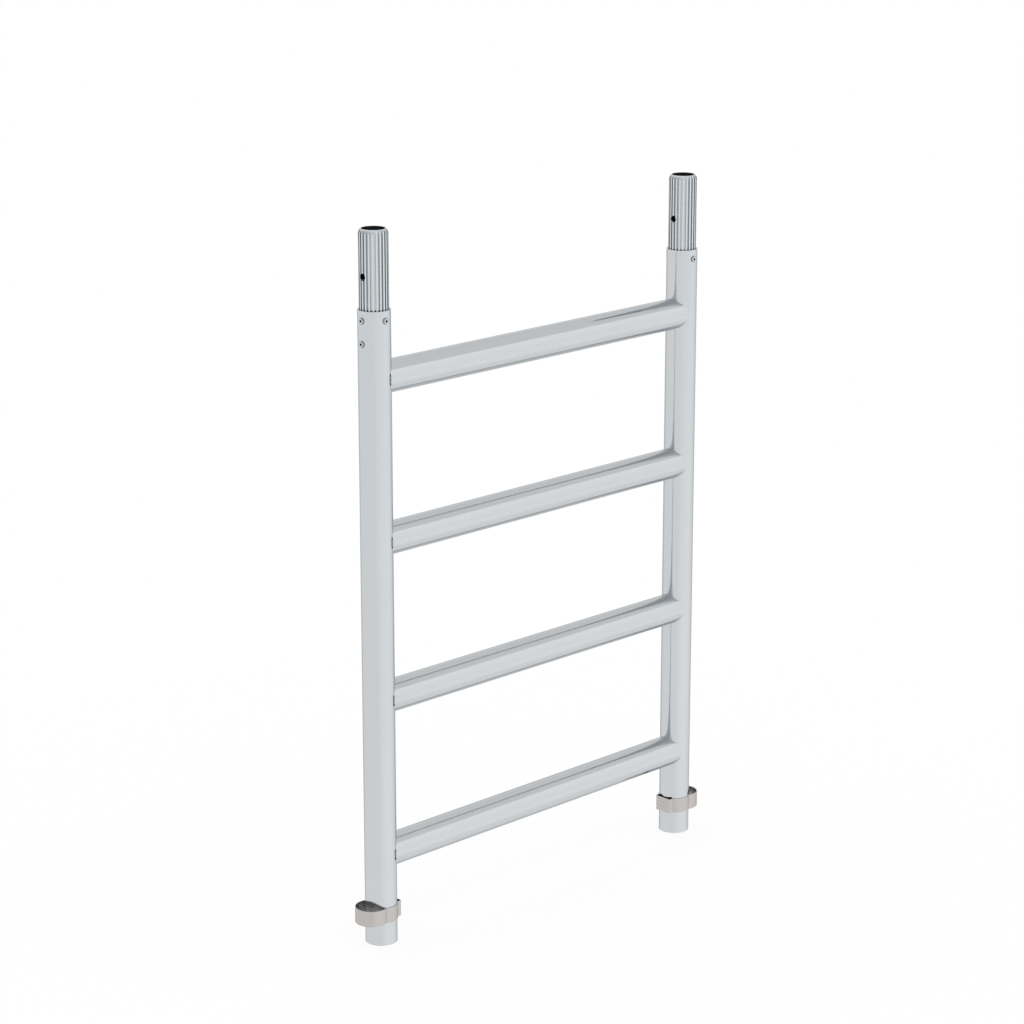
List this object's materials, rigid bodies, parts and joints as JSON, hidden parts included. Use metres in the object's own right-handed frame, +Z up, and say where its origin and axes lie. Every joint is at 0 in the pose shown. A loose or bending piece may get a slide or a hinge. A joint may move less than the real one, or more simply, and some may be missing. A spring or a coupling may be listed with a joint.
{
  "type": "scaffold tower frame",
  "caption": "Ladder-type scaffold tower frame: two round posts joined by welded rungs, with fluted spigots on top and spring locking clips at the feet.",
  "frame": {"origin": "midway between the two posts' axes, at the level of their feet", "axes": "+X along the rungs from the left post to the right post, +Y from front to back, +Z up the posts"},
  "size_m": [0.7646, 0.0544, 1.12],
  "materials": {
    "tube_aluminium": "satin mill",
    "spigot_aluminium": "extruded",
    "clip_steel": "rolled strip",
    "pin_steel": "turned",
    "rivet_aluminium": "bright",
    "mandrel_steel": "broken end"
  },
  "bodies": {
    "root": {"left_post": "tube_aluminium", "left_spigot": "spigot_aluminium", "left_clip": "clip_steel", "left_lock_pin": "pin_steel", "left_outer_upper_rivet": "rivet_aluminium", "left_outer_upper_mandrel": "mandrel_steel", "left_outer_lower_rivet": "rivet_aluminium", "left_outer_lower_mandrel": "mandrel_steel", "left_front_rivet": "rivet_aluminium", "left_front_mandrel": "mandrel_steel", "left_back_rivet": "rivet_aluminium", "left_back_mandrel": "mandrel_steel", "right_post": "tube_aluminium", "right_spigot": "spigot_aluminium", "right_clip": "clip_steel", "right_lock_pin": "pin_steel", "right_outer_upper_rivet": "rivet_aluminium", "right_outer_upper_mandrel": "mandrel_steel", "right_outer_lower_rivet": "rivet_aluminium", "right_outer_lower_mandrel": "mandrel_steel", "right_front_rivet": "rivet_aluminium", "right_front_mandrel": "mandrel_steel", "right_back_rivet": "rivet_aluminium", "right_back_mandrel": "mandrel_steel", "rung_1": "tube_aluminium", "rung_2": "tube_aluminium", "rung_3": "tube_aluminium", "rung_4": "tube_aluminium"}
  },
  "joints": []
}
